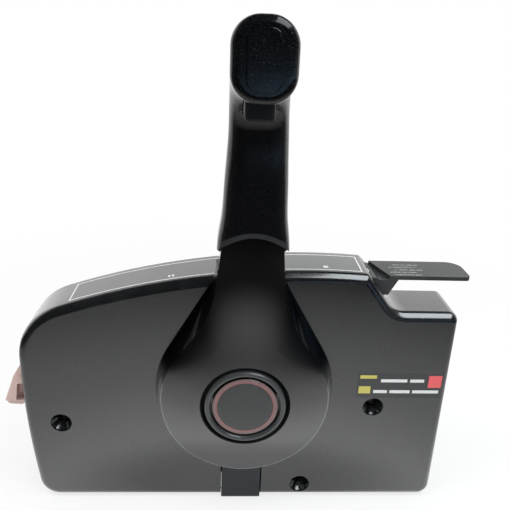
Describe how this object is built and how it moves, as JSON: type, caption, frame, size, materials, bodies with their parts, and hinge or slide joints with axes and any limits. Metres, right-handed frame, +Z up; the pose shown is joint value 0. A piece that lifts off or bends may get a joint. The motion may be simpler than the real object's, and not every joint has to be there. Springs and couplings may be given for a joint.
{
  "type": "boat throttle control lever",
  "caption": "Side-mount throttle and shift control: flat arched housing, hub lever with a bent grip, neutral-lock bar, throttle-only button, warm-up lever and stop switch",
  "frame": {"origin": "on the lever's turning axis, in the plane of the mounting surface", "axes": "+X aft, the end the cables leave by; +Z up, the lever's neutral direction; +Y into the panel the control is mounted on, so the lever stands on the -Y side"},
  "size_m": [0.2809, 0.1224, 0.2997],
  "materials": {
    "housing_dark_grey": "satin dark grey paint on cast aluminium",
    "lever_black_paint": "semi-gloss black paint on cast aluminium",
    "grip_soft_black": "black leather-grained soft moulding",
    "gloss_black_plastic": "gloss black moulding",
    "black_plastic": "black moulding",
    "grey_plastic": "mid-grey moulding",
    "grey_label_film": "printed grey film",
    "red_plastic": "salmon-red moulding",
    "toggle_pinkish_grey": "pinkish-grey moulding",
    "natural_nylon": "natural nylon",
    "cast_aluminium": "as cast",
    "stainless_steel": "turned stainless steel",
    "spring_steel": "drawn spring wire and strip",
    "brass": "turned brass",
    "black_rubber": "moulded rubber"
  },
  "bodies": {
    "housing": {"front_cover": "housing_dark_grey", "rear_cover": "black_plastic", "scale_strip": "grey_label_film", "lower_access_cover": "housing_dark_grey", "mounting_sleeves": "stainless_steel", "cover_screws": "stainless_steel", "front_bushing": "natural_nylon", "rear_bushing": "natural_nylon", "neutral_lock_ring": "cast_aluminium", "lock_ring_screws": "stainless_steel", "shift_pivot_pin": "stainless_steel", "pivot_clip": "spring_steel", "detent_spring": "spring_steel", "neutral_switch": "black_plastic", "cable_anchors": "brass", "cable_grommet": "black_rubber", "warm_up_pin": "stainless_steel", "stop_switch_body": "black_plastic", "stop_switch_pin": "stainless_steel"},
    "lever": {"control_lever": "lever_black_paint", "grip_front_half": "grip_soft_black", "grip_back_half": "grip_soft_black", "grip_end_pad": "grip_soft_black", "grip_screws": "stainless_steel", "main_shaft": "stainless_steel", "shaft_clip": "spring_steel", "hub_set_screw": "stainless_steel", "drive_gear": "natural_nylon", "throttle_arm": "cast_aluminium", "throttle_pin": "stainless_steel", "detent_plate": "natural_nylon", "button_bezel": "gloss_black_plastic", "button_spring": "spring_steel", "lock_spring": "spring_steel"},
    "throttle_button": {"throttle_only_button": "gloss_black_plastic", "button_ring": "red_plastic"},
    "neutral_lock": {"neutral_lock_bar": "grey_plastic", "lock_rod": "stainless_steel"},
    "shift": {"shift_gear": "cast_aluminium", "shift_pin": "stainless_steel"},
    "warm_up": {"warm_up_lever": "grey_plastic", "warm_up_crank": "natural_nylon"},
    "stop_toggle": {"stop_switch_toggle": "toggle_pinkish_grey"}
  },
  "joints": [
    {"name": "lever_hinge", "type": "hinge", "parent": "housing", "child": "lever", "pos_m": [0, 0, 0], "axis": [0, -1, 0], "range_deg": [-65, 90]},
    {"name": "button_slide", "type": "slide", "parent": "lever", "child": "throttle_button", "axis": [0, 1, 0], "range_m": [0, 0.003], "stiffness_N_per_m": 800, "springref_m": -0.004, "deforming": ["button_spring"]},
    {"name": "neutral_lock_slide", "type": "slide", "parent": "lever", "child": "neutral_lock", "axis": [0, 0, 1], "range_m": [0, 0.005], "stiffness_N_per_m": 600, "springref_m": -0.006, "deforming": ["lock_spring"]},
    {"name": "shift_hinge", "type": "hinge", "parent": "housing", "child": "shift", "pos_m": [-0.03998, -0.021, -0.03403], "axis": [0, -1, 0], "range_deg": [-36, 26]},
    {"name": "warm_up_hinge", "type": "hinge", "parent": "housing", "child": "warm_up", "pos_m": [0.074, -0.023, 0.0665], "axis": [0, -1, 0], "range_deg": [0, 45]},
    {"name": "stop_toggle_hinge", "type": "hinge", "parent": "housing", "child": "stop_toggle", "pos_m": [-0.13, -0.028, -0.006], "axis": [0, -1, 0], "range_deg": [0, 12]}
  ],
  "couplings": [
    {"joint": "shift_hinge", "follows": "lever_hinge", "ratio": -0.4}
  ]
}
